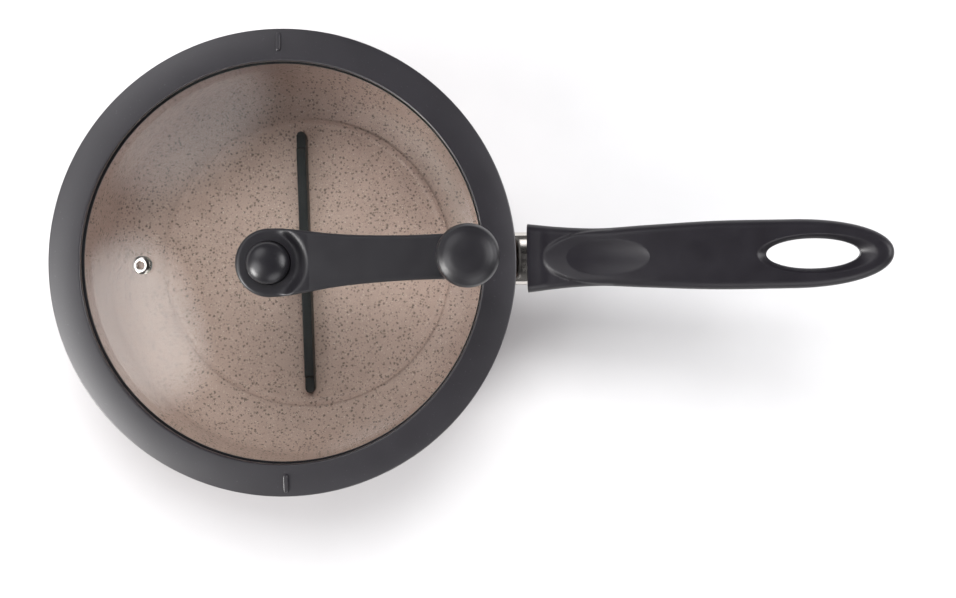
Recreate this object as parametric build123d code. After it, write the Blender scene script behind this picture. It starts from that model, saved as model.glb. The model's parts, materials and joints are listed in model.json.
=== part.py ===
from build123d import *
import os
import math

# A covered stirring pan, in millimetres. The origin is the centre of the base on the plane
# that the pan stands on, +Z is up and +X runs along the handle.

os.makedirs("parts", exist_ok=True)

# Pan
rim_z = 104.0
rim_bore_r = 120.0
rim_bead_r = 124.0
wall = 2.5
wall_taper = 2.2
floor_z = 4.5
corner_r = 31.0
disc_r = 78.0
disc_recess = 1.5
disc_thickness = 1.2

# Handle
handle_tilt = 11.0
grip_front_x = 135.3
grip_front_z = 90.0
grip_length = 192.6
hole_u = 151.6
hole_half = (24.3, 8.0)
hole_bevel_half = (31.0, 10.6)
dimple_u = 43.9
dimple_half = (22.4, 9.6)
tongue_size = (42.0, 14.0, 8.0)
bracket_low_z = 77.0
bracket_high_z = 98.0
bracket_half_angle = 11.5
bracket_thickness = 2.5
rivet_angle = 9.0
rivet_z = 92.0
handle_screw_u = 26.0

# Lid
glass_thickness = 4.0
glass_edge_z = 107.0
glass_edge_r = 115.0
glass_top_z = 122.0
glass_land_r = 16.0
glass_dome_r = 108.5
ring_r = 127.0
ring_lip_r = 109.1
ring_top_z = 110.0
ring_edge_z = 107.8
vent_x = -74.0
vent_hole_r = 2.0
bush_r = 6.5
bush_flange_r = 12.5
bush_bottom_z = 114.5
gasket_thickness = 1.5
tower_r = 14.5
tower_top_z = 137.6

# Crank and stirrer
shaft_r = 4.0
shaft_gap = 0.05
shaft_square = 5.6
end_play = 0.3
arm_bottom_z = 139.2
hub_r = 17.4
hub_top_z = 152.0
hub_boss_r = 12.5
crank_x = 100.0
arm_end_r = 11.6
knob_seat_z = 162.5
blade_bottom_z = 5.3
blade_top_z = 16.0
blade_half_length = 81.6
blade_thickness = 5.8
blade_hub_r = 8.0
blade_hub_top_z = 36.0
knob_r = 15.4
crank_rest_turn = 1.1


def wall_r(z):
    """Radius of the pan's tapered outer wall at height z."""
    return rim_bore_r + wall - (rim_z - z) * math.tan(math.radians(wall_taper))


def turned(points, rounds=()):
    """A solid turned about Z from (radius, height) points; rounds are (point, fillet radius)."""
    outline = make_face(Polyline(*points, close=True))
    for point, radius in rounds:
        corner = outline.vertices().sort_by_distance(Vector(*point))[0]
        outline = fillet(corner, radius)
    return revolve(Plane.XZ * outline, Axis.Z)


def ring(inner_r, outer_r, low_z, high_z):
    """A flat round ring, or a disc where inner_r is 0."""
    solid = extrude(Circle(outer_r), high_z - low_z)
    if inner_r > 0:
        solid -= extrude(Circle(inner_r), high_z - low_z)
    return Pos(0, 0, low_z) * solid


def on_handle(solid):
    """Moves a solid made along X from the grip's front face into the tilted handle's place."""
    return Location((grip_front_x, 0, grip_front_z), (0, -handle_tilt, 0)) * solid


def write(name, solid):
    """Writes one node."""
    export_step(solid, f"parts/{name}.step")


def write_on_crank(name, solid):
    """Writes a node that turns with the crank, which rests a little off the handle's line."""
    write(name, Rot(0, 0, crank_rest_turn) * solid)


def make_pan_shell():
    """Coated aluminium pan: thick floor, large corner radius, beaded rim."""
    base_r = wall_r(0)
    inner_base_r = wall_r(floor_z) - wall
    outline = [
        (0, disc_recess), (disc_r, disc_recess), (disc_r, 0), (base_r, 0),
        (wall_r(rim_z - 5), rim_z - 5), (rim_bead_r, rim_z - 3.5), (rim_bead_r, rim_z),
        (rim_bore_r, rim_z), (inner_base_r, floor_z), (0, floor_z),
    ]
    rounds = [
        ((base_r, 0), corner_r + wall), ((inner_base_r, floor_z), corner_r),
        ((rim_bead_r, rim_z), 1.5), ((rim_bead_r, rim_z - 3.5), 1.0), ((rim_bore_r, rim_z), 1.0),
    ]
    shell = turned(outline, rounds)
    for side in (-1, 1):
        shell -= rivet_shank(side)
    return shell


def make_induction_disc():
    """Steel disc let into the underside, with rings of small holes for the aluminium to grip."""
    disc = ring(0, disc_r, disc_recess - disc_thickness, disc_recess)
    for circle_r, count in ((22, 8), (44, 16), (66, 24)):
        for k in range(count):
            disc -= Rot(0, 0, 360 * k / count) * Pos(circle_r, 0, 0) * ring(0, 2.5, 0, disc_recess)
    return disc


def rivet_shank(side):
    """The rivet's shank, along the radius through wall and bracket plate."""
    reach = wall + bracket_thickness + 4.0
    start = wall_r(rivet_z) - wall - 2.0
    shank = Pos(start, 0, rivet_z) * Rot(0, 90, 0) * extrude(Circle(2.4), reach)
    return Rot(0, 0, side * rivet_angle) * shank


def make_handle_bracket():
    """Steel plate that follows the wall, with the tongue that the grip slides over."""
    plate = make_face(Polyline(
        (wall_r(bracket_low_z), bracket_low_z),
        (wall_r(bracket_high_z), bracket_high_z),
        (wall_r(bracket_high_z) + bracket_thickness, bracket_high_z),
        (wall_r(bracket_low_z) + bracket_thickness, bracket_low_z),
        close=True,
    ))
    plate = revolve(Plane.XZ * plate, Axis.Z, 2 * bracket_half_angle)
    plate = Rot(0, 0, -bracket_half_angle) * plate
    length, width, height = tongue_size
    tongue = on_handle(Pos((length - 14.0) / 2, 0, 0) * Box(length + 14.0, width, height))
    tongue -= wall_core(0.6)
    bracket = plate + tongue
    bracket -= on_handle(Pos(handle_screw_u, 0, 0) * Cylinder(2.5, 2 * height))
    for side in (-1, 1):
        bracket -= rivet_shank(side)
    return bracket


def wall_core(outset):
    """Everything inside the pan's outer wall moved out by outset, used to trim what meets it."""
    low, high = 60.0, 120.0
    return turned([(0, low), (wall_r(low) + outset, low), (wall_r(high) + outset, high), (0, high)])


def make_bracket_rivets(shell, bracket):
    """Two rivets through wall and plate, each with a low head inside and outside."""
    rivets = []
    middle = wall_r(rivet_z) + bracket_thickness
    for side in (-1, 1):
        inner_head = Pos(wall_r(rivet_z) - wall - 1.6, 0, rivet_z) * Rot(0, 90, 0)
        outer_head = Pos(middle - 0.6, 0, rivet_z) * Rot(0, 90, 0)
        heads = inner_head * Cylinder(5.0, 3.0, align=(Align.CENTER, Align.CENTER, Align.MIN))
        heads += outer_head * Cylinder(3.6, 2.2, align=(Align.CENTER, Align.CENTER, Align.MIN))
        shank = rivet_shank(side) - wall_core(-wall - 1.6)
        rivet = shank + Rot(0, 0, side * rivet_angle) * heads
        rivets.append(rivet - shell - bracket)
    return Compound(children=[solid for rivet in rivets for solid in rivet.solids()])


def make_flame_guard():
    """Polished steel sleeve round the tongue, between the bracket plate and the grip."""
    reach = 16.0
    sleeve = extrude(Plane.YZ.offset(-reach) * RectangleRounded(29.4, 20.0, 9.0), reach)
    sleeve -= extrude(Plane.YZ.offset(-reach) * RectangleRounded(27.0, 17.6, 7.8), reach)
    return on_handle(sleeve) - wall_core(bracket_thickness)


def mirrored_outline(half_points, start_tangent, end_tangent):
    """A closed outline whose upper half is a spline through half_points, mirrored across X."""
    lower_points = [(u, -v) for u, v in half_points]
    upper = Spline(*half_points, tangents=(start_tangent, end_tangent))
    mirrored_tangents = ((start_tangent[0], -start_tangent[1]), (end_tangent[0], -end_tangent[1]))
    lower = Spline(*lower_points, tangents=mirrored_tangents)
    ends = (half_points[0], half_points[-1])
    caps = [Line((u, v), (u, -v)) for u, v in ends if v > 0]
    return make_face([upper, lower] + caps)


def make_handle_grip():
    """Moulded grip: flared front collar, waist, thumb rest and an oval hanging hole."""
    plan = mirrored_outline(
        [(0, 18.9), (18, 16.9), (38, 15.8), (64, 16.9), (100, 18.5), (140, 18.4), (160, 17.4),
         (177, 13.6), (187, 8.6), (grip_length, 0)],
        (1, -0.14), (0, -1),
    )
    top = Spline((0, 13.5), (12, 11.8), (30, 11.6), (70, 12.0), (120, 9.6), (160, 7.2),
                 (grip_length + 2, 5.6))
    bottom = Spline((0, -12.5), (20, -11.2), (60, -11.4), (100, -10.6), (150, -7.6),
                    (grip_length + 2, -5.6))
    side = make_face([top, bottom, Line((0, 13.5), (0, -12.5)),
                      Line((grip_length + 2, 5.6), (grip_length + 2, -5.6))])
    grip = Pos(0, 0, -20) * extrude(plan, 40)
    grip &= extrude(Plane.XZ * side, 25, both=True)
    rim_edges = [edge for edge in grip.edges() if edge.length > 60]
    grip = fillet(rim_edges, 5.0)
    grip -= collar_cut()
    length, width, height = tongue_size
    grip -= Pos(length / 2, 0, 0) * Box(length + 0.4, width + 0.2, height + 0.2)
    grip -= dimple_tool()
    grip -= hanging_hole_tool()
    grip -= Pos(handle_screw_u, 0, -20) * extrude(Circle(2.7), 20)
    grip -= Pos(handle_screw_u, 0, -20) * extrude(Circle(5.5), 20 - 6.6)
    return on_handle(grip)


def collar_cut():
    """What is taken off the front so that the thumb pad stands up behind a sloped collar."""
    slope = make_face(Polyline((-1, 13.8), (10.5, 10.4), (46, 10.8), (46, 20), (-1, 20), close=True))
    above = extrude(Plane.XZ * slope, 25, both=True)
    pad = Pos(46, 0, 0) * extrude(Ellipse(37.0, 14.6), 30)
    return above - pad


def dimple_tool():
    """The ellipsoid that sinks the thumb rest."""
    depth = 2.4
    bowl = scale(Sphere(1.0), by=(dimple_half[0] * 1.35, dimple_half[1] * 1.35, 4.6))
    return Pos(dimple_u, 0, 11.6 + 4.6 - depth) * bowl


def hanging_hole_tool():
    """Oval through hole with a wide bevel on both faces."""
    hole = Pos(hole_u, 0, -20) * extrude(Ellipse(*hole_half), 40)
    upper = [Pos(hole_u, 0, 4.4) * Ellipse(*hole_half), Pos(hole_u + 1.5, 0, 8.6) * Ellipse(*hole_bevel_half)]
    lower = [Pos(hole_u, 0, -4.6) * Ellipse(*hole_half), Pos(hole_u + 1.5, 0, -8.8) * Ellipse(*hole_bevel_half)]
    return hole + loft(upper) + loft(lower)


def make_handle_screw():
    """Pan-head screw from below, with a cross recess."""
    screw = Pos(handle_screw_u, 0, -7.6) * extrude(Circle(2.5), 10.6)
    head = Pos(handle_screw_u, 0, -10.4) * extrude(Circle(4.4), 2.8)
    for turn in (0, 90):
        head -= Pos(handle_screw_u, 0, -10.4) * Rot(0, 0, turn) * Box(5.0, 1.1, 3.0)
    return on_handle(screw + head)


def make_handle_screw_washer():
    """Washer under the handle screw's head."""
    return on_handle(Pos(handle_screw_u, 0, 0) * ring(2.6, 5.2, -7.6, -6.6))


def dome_radius():
    """Radius of the arc of the glass's upper face between its flat centre and its flat edge."""
    reach = glass_dome_r - glass_land_r
    drop = glass_top_z - glass_edge_z
    return (reach ** 2 + drop ** 2) / (2 * drop)


def on_vent(solid):
    """Moves a solid made about Z with the glass's upper face at 0 into the vent's place."""
    top_r = dome_radius()
    tilt = math.asin((abs(vent_x) - glass_land_r) / top_r)
    vent_z = glass_top_z - top_r * (1 - math.cos(tilt))
    return Location((vent_x, 0, vent_z), (0, -math.degrees(tilt), 0)) * solid


def make_lid_glass():
    """Domed tempered glass with a flat centre, a flat edge and two holes."""
    top_r = dome_radius()
    low_r = top_r - glass_thickness
    drop = glass_top_z - glass_edge_z
    low_reach = math.sqrt(low_r ** 2 - (low_r - drop) ** 2)
    low_top_z = glass_top_z - glass_thickness
    low_edge_z = glass_edge_z - glass_thickness
    top_start, top_end = (glass_land_r, glass_top_z), (glass_dome_r, glass_edge_z)
    low_start, low_end = (glass_land_r, low_top_z), (glass_land_r + low_reach, low_edge_z)
    edges = [
        Line((0, glass_top_z), top_start), RadiusArc(top_start, top_end, top_r),
        Line(top_end, (glass_edge_r, glass_edge_z)),
        Line((glass_edge_r, glass_edge_z), (glass_edge_r, low_edge_z)),
        Line((glass_edge_r, low_edge_z), low_end), RadiusArc(low_start, low_end, low_r),
        Line(low_start, (0, low_top_z)), Line((0, low_top_z), (0, glass_top_z)),
    ]
    glass = revolve(Plane.XZ * make_face(edges), Axis.Z)
    glass -= ring(0, bush_r + 0.5, 100, 130)
    glass -= on_vent(ring(0, vent_hole_r + 1.2, -2 * glass_thickness, glass_thickness))
    return glass


def make_silicone_rim():
    """Moulded silicone ring: sloped flange, inner lip, glass groove, skirt and two index ribs."""
    low_edge_z = glass_edge_z - glass_thickness
    outline = [
        (ring_lip_r, ring_top_z), (ring_r, ring_edge_z), (ring_r, rim_z + 0.8), (ring_r - 1.2, rim_z),
        (118.6, rim_z), (117.6, rim_z - 9), (114.8, rim_z - 9), (113.2, low_edge_z - 1.5),
        (glass_dome_r - 0.3, low_edge_z - 1.5), (glass_dome_r - 0.3, low_edge_z),
        (glass_edge_r, low_edge_z), (glass_edge_r, glass_edge_z), (ring_lip_r, glass_edge_z),
    ]
    rounds = [((ring_lip_r, ring_top_z), 0.8), ((ring_r, ring_edge_z), 0.7), ((117.6, rim_z - 9), 1.0)]
    rim = turned(outline, rounds)
    rib_r = 119.5
    fall = (ring_top_z - ring_edge_z) / (ring_r - ring_lip_r)
    rib_z = ring_top_z - (rib_r - ring_lip_r) * fall
    rib = Pos(0, 0, -0.5) * extrude(SlotOverall(10.0, 2.4), 1.7)
    rib = Pos(rib_r, 0, rib_z) * Rot(0, math.degrees(math.atan(fall)), 0) * rib
    for turn in (90, -90):
        rim += Rot(0, 0, turn) * rib
    return rim


def make_vent_eyelet():
    """Steel eyelet rolled over both faces of the glass, square to the dome."""
    gap = 0.08
    low = -glass_thickness - gap
    outline = [
        (vent_hole_r, 1.2), (vent_hole_r + 1.6, 1.2), (5.0, gap + 0.3), (5.0, gap),
        (3.0, gap), (3.0, low), (4.8, low), (4.6, low - 0.6), (vent_hole_r, low - 0.9),
    ]
    return on_vent(turned(outline, [((vent_hole_r, 1.2), 0.5), ((vent_hole_r + 1.6, 1.2), 1.0)]))


def make_lid_bushing():
    """Flanged bush through the glass, in which the shaft turns."""
    flange_top_z = glass_top_z - glass_thickness - gasket_thickness
    outline = [
        (shaft_r + shaft_gap, bush_bottom_z), (bush_flange_r, bush_bottom_z),
        (bush_flange_r, flange_top_z), (bush_r, flange_top_z), (bush_r, tower_top_z - 3.6),
        (shaft_r + shaft_gap, tower_top_z - 3.6),
    ]
    return turned(outline)


def make_clamp_nut():
    """Hexagon nut that clamps bush, gaskets and glass."""
    low_z = glass_top_z + gasket_thickness
    nut = Pos(0, 0, low_z) * extrude(RegularPolygon(9.5, 6, major_radius=False), 5.0)
    return nut - ring(0, bush_r, low_z, low_z + 5.0)


def make_bearing_tower():
    """Moulded collar over the nut: it stands on the gasket and carries the crank."""
    low_z = glass_top_z + gasket_thickness
    tower = turned(
        [(0, low_z), (tower_r, low_z), (tower_r - 1.5, low_z + 6), (tower_r - 2.5, tower_top_z), (0, tower_top_z)],
        [((tower_r - 2.5, tower_top_z), 0.8)],
    )
    tower -= ring(0, 11.1, low_z, low_z + 5.2)
    tower -= ring(0, bush_r, low_z, tower_top_z - 3.6)
    tower -= ring(0, shaft_r + 0.4, low_z, tower_top_z)
    return tower


def make_drive_shaft():
    """Round steel shaft with squared ends, a clip groove and a tapped top."""
    square_low_top = blade_hub_top_z
    shaft_bottom_z = 12.0
    shaft_top_z = hub_top_z - 7.0
    shaft = ring(0, shaft_r, square_low_top, arm_bottom_z)
    square = Rectangle(shaft_square, shaft_square)
    shaft += Pos(0, 0, shaft_bottom_z) * extrude(square, square_low_top - shaft_bottom_z)
    shaft += Pos(0, 0, arm_bottom_z) * extrude(square, shaft_top_z - arm_bottom_z)
    shaft -= ring(3.2, shaft_r + 1, bush_bottom_z - end_play - 1.1, bush_bottom_z - end_play)
    shaft -= ring(0, 2.0, shaft_top_z - 12.0, shaft_top_z)
    shaft -= pin_cylinder(2 * blade_hub_r)
    return shaft


def pin_cylinder(length):
    """The cross pin's cylinder through blade hub and shaft."""
    return Pos(0, 0, blade_hub_top_z - 7.0) * Rot(0, 90, 0) * Cylinder(1.25, length)


def make_shaft_circlip():
    """Open steel clip in the shaft's groove, under the bush."""
    clip = ring(3.2, 7.4, bush_bottom_z - end_play - 1.1, bush_bottom_z - end_play)
    return clip - Pos(-5.5, 0, bush_bottom_z) * Box(6.0, 4.0, 6.0)


def make_thrust_washer():
    """Slip washer under the crank's hub."""
    return ring(shaft_r + 0.1, 11.0, tower_top_z + end_play, arm_bottom_z)


def make_crank_arm():
    """Moulded crank: round hub with a cap pocket, tapered arm and a flat seat for the knob."""
    plan = mirrored_outline(
        [(0, hub_r), (17, 15.8), (32, 13.6), (62, 11.4), (88, 11.3), (crank_x, arm_end_r)],
        (1, 0), (1, 0.02),
    )
    side = make_face(Polyline(
        (-20, hub_top_z), (13.5, hub_top_z), (20.5, 156.4), (86, knob_seat_z), (125, knob_seat_z),
        (125, 153.5), (88, 153.5), (26, 146.5), (16, 143.5), (-20, 143.5), close=True,
    ))
    arm = Pos(0, 0, 130) * extrude(plan, 50)
    arm += ring(0, hub_r, 130, 180)
    arm += Pos(crank_x, 0, 0) * ring(0, arm_end_r, 130, 180)
    arm &= extrude(Plane.XZ * side, 30, both=True)
    rim = [edge for edge in arm.edges() if edge.center().Z > 149 and abs(edge.center().Y) > 3]
    arm = fillet([edge for edge in rim if edge.length > 8], 1.5)
    arm += ring(0, hub_boss_r, arm_bottom_z, 146)
    arm -= ring(0, 11.2, 147.5, 160)
    arm -= Pos(0, 0, 130) * extrude(Rectangle(shaft_square, shaft_square), hub_top_z - 7.0 - 130)
    arm -= ring(0, 2.6, 140, 150)
    arm -= Pos(crank_x, 0, 0) * ring(0, 3.0, 150, 170)
    arm -= Pos(crank_x, 0, 0) * ring(0, 7.2, 150, 157.0)
    arm += Pos(crank_x, 0, 0) * (ring(6.4, 7.2, 153.5, 157.0))
    return arm


def make_crank_screw():
    """Screw down into the shaft's top."""
    screw = ring(0, 2.0, hub_top_z - 15, hub_top_z - 3.3) + ring(0, 4.5, hub_top_z - 3.3, hub_top_z - 0.3)
    for turn in (0, 90):
        screw -= Pos(0, 0, hub_top_z) * Rot(0, 0, turn) * Box(5.0, 1.2, 3.6)
    return screw


def make_screw_washer():
    """Washer under the crank screw's head."""
    return ring(2.2, 7.0, hub_top_z - 4.5, hub_top_z - 3.3)


def make_hub_cap():
    """Hollow dome cap pushed into the hub's pocket."""
    outer = cap_dome(10.8, 156.0, 161.6)
    inner = cap_dome(9.2, 154.6, 160.0)
    return outer - inner


def cap_dome(radius, shoulder_z, top_z):
    """A round plug from the pocket's floor with a domed top."""
    pocket_z = hub_top_z - 4.5
    rise = top_z - shoulder_z
    middle = (radius * math.sin(math.radians(45)), shoulder_z + rise * math.cos(math.radians(45)))
    edges = [
        Line((0, pocket_z), (radius, pocket_z)), Line((radius, pocket_z), (radius, shoulder_z)),
        Spline((radius, shoulder_z), middle, (0, top_z), tangents=((0, 1), (-1, 0))),
        Line((0, top_z), (0, pocket_z)),
    ]
    return revolve(Plane.XZ * make_face(edges), Axis.Z)


def make_stirrer_blade():
    """Upright blade across the pan floor, with stepped tips and a hub for the shaft."""
    step_y = blade_half_length - 10.5
    step_z = blade_top_z - 2.0
    outline = Polyline(
        (-blade_half_length, blade_bottom_z), (blade_half_length, blade_bottom_z),
        (blade_half_length, step_z), (step_y, step_z), (step_y, blade_top_z),
        (-step_y, blade_top_z), (-step_y, step_z), (-blade_half_length, step_z), close=True,
    )
    blade = extrude(Plane.YZ * make_face(outline), blade_thickness / 2, both=True)
    plan = extrude(SlotOverall(2 * blade_half_length, blade_thickness), 60)
    blade &= Rot(0, 0, 90) * plan
    blade += ring(0, blade_hub_r, blade_bottom_z, blade_hub_top_z)
    blade -= Pos(0, 0, 12.0) * extrude(Rectangle(shaft_square, shaft_square), 40)
    blade -= pin_cylinder(3 * blade_hub_r)
    return blade


def make_knob_spindle():
    """Headed pin on which the knob turns, with a thinner end through the arm."""
    spindle = ring(0, 3.0, 150.8, knob_seat_z) + ring(0, shaft_r, knob_seat_z, 176.6)
    spindle += ring(0, 6.5, 176.6, 178.2)
    return Pos(crank_x, 0, 0) * spindle


def make_spindle_nut():
    """Nut on the spindle, in the arm's underside."""
    nut = Pos(0, 0, 152.0) * extrude(RegularPolygon(5.0, 6, major_radius=False), 5.0)
    return Pos(crank_x, 0, 0) * (nut - ring(0, 3.0, 150, 160))


def make_knob_washer():
    """Slip washer between arm and knob."""
    return Pos(crank_x, 0, 0) * ring(shaft_r, 8.5, knob_seat_z, knob_seat_z + 0.8)


def make_crank_knob():
    """The turning knob's body, bored for the spindle and open at the top for its head."""
    low_z = knob_seat_z + 0.8 + end_play
    outline = [
        (shaft_r + 0.06, low_z), (9.0, low_z), (10.5, 170.0), (knob_r - 0.8, 176.0), (knob_r, 179.5),
        (9.2, 179.5), (9.2, 176.2), (shaft_r + 0.06, 176.2),
    ]
    rounds = [((10.5, 170.0), 8.0), ((knob_r - 0.8, 176.0), 2.0), ((9.0, low_z), 0.6)]
    return Pos(crank_x, 0, 0) * turned(outline, rounds)


def make_knob_cap():
    """The knob's smooth shallow top with a plug ring that snaps into the body."""
    edges = [
        Line((0, 185.5), (0, 190.5)),
        Spline((0, 190.5), (9.5, 189.2), (knob_r, 183.5), tangents=((1, 0), (0.15, -1))),
        Line((knob_r, 183.5), (knob_r, 179.5)), Line((knob_r, 179.5), (9.2, 179.5)),
        Line((9.2, 179.5), (9.2, 177.0)), Line((9.2, 177.0), (7.4, 177.0)),
        Line((7.4, 177.0), (7.4, 183.5)), Line((7.4, 183.5), (0, 185.5)),
    ]
    return Pos(crank_x, 0, 0) * revolve(Plane.XZ * make_face(edges), Axis.Z)


pan_shell = make_pan_shell()
handle_bracket = make_handle_bracket()
write("pan_shell", pan_shell)
write("induction_disc", make_induction_disc())
write("handle_bracket", handle_bracket)
write("bracket_rivets", make_bracket_rivets(pan_shell, handle_bracket))
write("flame_guard", make_flame_guard())
write("handle_grip", make_handle_grip())
write("handle_screw", make_handle_screw())
write("handle_screw_washer", make_handle_screw_washer())

write("lid_glass", make_lid_glass())
write("silicone_rim", make_silicone_rim())
write("vent_eyelet", make_vent_eyelet())
write("lid_bushing", make_lid_bushing())
gasket_hole_r = bush_r + 0.2
lower_gasket_z = glass_top_z - glass_thickness - gasket_thickness
write("lower_gasket", ring(gasket_hole_r, bush_flange_r, lower_gasket_z, lower_gasket_z + gasket_thickness))
write("upper_gasket", ring(gasket_hole_r, tower_r, glass_top_z, glass_top_z + gasket_thickness))
write("clamp_nut", make_clamp_nut())
write("bearing_tower", make_bearing_tower())

write_on_crank("drive_shaft", make_drive_shaft())
write_on_crank("shaft_circlip", make_shaft_circlip())
write_on_crank("thrust_washer", make_thrust_washer())
write_on_crank("crank_arm", make_crank_arm())
write_on_crank("crank_screw", make_crank_screw())
write_on_crank("screw_washer", make_screw_washer())
write_on_crank("hub_cap", make_hub_cap())
write_on_crank("stirrer_blade", make_stirrer_blade())
write_on_crank("stirrer_pin", pin_cylinder(2 * blade_hub_r - 1.0))
write_on_crank("knob_spindle", make_knob_spindle())
write_on_crank("spindle_nut", make_spindle_nut())
write_on_crank("knob_washer", make_knob_washer())

write_on_crank("crank_knob", make_crank_knob())
write_on_crank("knob_cap", make_knob_cap())
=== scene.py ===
import json
import math

import bmesh
import bpy
import numpy as np
from mathutils import Matrix, Vector


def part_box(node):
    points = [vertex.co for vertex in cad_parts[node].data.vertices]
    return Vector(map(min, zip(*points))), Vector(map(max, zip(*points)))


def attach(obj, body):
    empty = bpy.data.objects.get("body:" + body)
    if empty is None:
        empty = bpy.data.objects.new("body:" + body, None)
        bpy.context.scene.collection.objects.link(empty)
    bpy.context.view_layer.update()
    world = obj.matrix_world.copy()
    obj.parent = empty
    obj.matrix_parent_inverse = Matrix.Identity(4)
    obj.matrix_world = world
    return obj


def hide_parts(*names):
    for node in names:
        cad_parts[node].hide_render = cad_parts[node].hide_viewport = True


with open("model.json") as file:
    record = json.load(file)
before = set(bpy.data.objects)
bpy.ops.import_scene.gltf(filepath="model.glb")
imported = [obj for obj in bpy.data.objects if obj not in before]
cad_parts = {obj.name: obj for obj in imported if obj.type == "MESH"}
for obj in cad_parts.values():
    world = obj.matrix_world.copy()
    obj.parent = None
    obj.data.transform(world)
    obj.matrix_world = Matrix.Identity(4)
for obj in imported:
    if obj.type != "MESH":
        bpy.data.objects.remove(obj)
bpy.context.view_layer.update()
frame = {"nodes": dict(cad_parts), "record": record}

MM = 0.001


# ---------------------------------------------------------------------------
# Pan. Drawn aluminium with a thick floor, a large corner radius and a beaded
# rim. Sprayed inside and out with a taupe non-stick coating that carries dark
# mineral flecks, and fired: a satin surface, darker where flecks crowd.
# ---------------------------------------------------------------------------
def corners_mm(node):
    """A node's lowest and highest corner, in millimetres."""
    low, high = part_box(node)
    return Vector(low) / MM, Vector(high) / MM


def linear(hex_colour):
    """Linear RGBA of an sRGB hex colour."""
    channels = [int(hex_colour[k:k + 2], 16) / 255 for k in (1, 3, 5)]
    return [c / 12.92 if c <= 0.04045 else ((c + 0.055) / 1.055) ** 2.4 for c in channels] + [1.0]


def add_node(tree, kind, inputs=None, **settings):
    """Adds a shader node. inputs holds each socket's value, or the socket that feeds it."""
    made = tree.nodes.new("ShaderNode" + kind)
    for name, value in settings.items():
        setattr(made, name, value)
    for name, value in (inputs or {}).items():
        if isinstance(value, bpy.types.NodeSocket):
            tree.links.new(value, made.inputs[name])
        else:
            made.inputs[name].default_value = value
    return made


def new_material(name, inputs):
    """A material with one Principled shader, and that material's node tree and shader."""
    material = bpy.data.materials.new(name)
    material.use_nodes = True
    shader = material.node_tree.nodes["Principled BSDF"]
    for socket, value in inputs.items():
        shader.inputs[socket].default_value = value
    return material, material.node_tree, shader


def place_in_mm(tree, stretch=(1, 1, 1)):
    """Object coordinates in millimetres, stretched if the pattern has a direction."""
    place = add_node(tree, "TexCoord").outputs["Object"]
    scale = [s / MM for s in stretch]
    return add_node(tree, "Mapping", {"Vector": place, "Scale": scale}).outputs["Vector"]


def grain(tree, place, size, detail=2.0, rough=0.5):
    """Noise whose features are about size millimetres across."""
    inputs = {"Vector": place, "Scale": 1 / size, "Detail": detail, "Roughness": rough}
    return add_node(tree, "TexNoise", inputs).outputs["Fac"]


def ramp(tree, value, low, high, to_low=0.0, to_high=1.0):
    """Maps value from low..high to to_low..to_high, held at both ends."""
    inputs = {"Value": value, "From Min": low, "From Max": high, "To Min": to_low, "To Max": to_high}
    return add_node(tree, "MapRange", inputs).outputs["Result"]


def blend_colour(tree, amount, first, second, how="MIX"):
    """Mixes two colours or sockets by amount."""
    mix = add_node(tree, "Mix", {0: amount, 6: first, 7: second}, data_type="RGBA", blend_type=how)
    return mix.outputs[2]


def bump(tree, height, distance_mm, strength=1.0, under=None):
    """A normal from a height pattern of the given depth."""
    inputs = {"Height": height, "Distance": distance_mm * MM, "Strength": strength}
    if under is not None:
        inputs["Normal"] = under
    return add_node(tree, "Bump", inputs).outputs["Normal"]


def fired_stone_coating():
    """Non-stick coating with mineral flecks: satin, with a slight orange-peel."""
    material, tree, shader = new_material("fired_stone_nonstick", {"IOR": 1.4})
    place = place_in_mm(tree)
    cloud = grain(tree, place, 9.0, 3.0)
    tint = blend_colour(tree, cloud, linear("#967e77"), linear("#aa9088"))
    wobble = add_node(tree, "TexNoise", {"Vector": place, "Scale": 0.9, "Detail": 1.0})
    shifted = add_node(tree, "VectorMath", {0: wobble.outputs["Color"], 1: (0.5, 0.5, 0.5)},
                       operation="SUBTRACT").outputs[0]
    shifted = add_node(tree, "VectorMath", {0: shifted, "Scale": 1.3}, operation="SCALE").outputs[0]
    ragged = add_node(tree, "VectorMath", {0: place, 1: shifted}, operation="ADD").outputs[0]
    # Two sizes of dark fleck and one of pale, 0.3 to 1 mm across. A row gives the spacing in
    # millimetres, the fleck's core and rim as parts of that, how many places hold one, and its colour.
    for spacing_mm, core, rim, share, colour in (
            (2.6, 0.18, 0.36, 0.66, "#594a44"), (1.8, 0.16, 0.32, 0.66, "#65554d"),
            (1.2, 0.14, 0.26, 0.35, "#c4b4a9")):
        cells = add_node(tree, "TexVoronoi", {"Vector": ragged, "Scale": 1 / spacing_mm})
        fleck = ramp(tree, cells.outputs["Distance"], core, rim, 1.0, 0.0)
        chance = add_node(tree, "SeparateColor", {"Color": cells.outputs["Color"]}).outputs[0]
        present = ramp(tree, chance, share, share + 0.25, 0.85, 0.0)
        strength = add_node(tree, "Math", {0: fleck, 1: present}, operation="MULTIPLY").outputs[0]
        tint = blend_colour(tree, strength, tint, linear(colour))
    tree.links.new(tint, shader.inputs["Base Color"])
    peel = grain(tree, place, 1.6, 2.0)
    tree.links.new(ramp(tree, peel, 0.3, 0.7, 0.40, 0.48), shader.inputs["Roughness"])
    tree.links.new(bump(tree, peel, 0.004), shader.inputs["Normal"])
    return material


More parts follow.
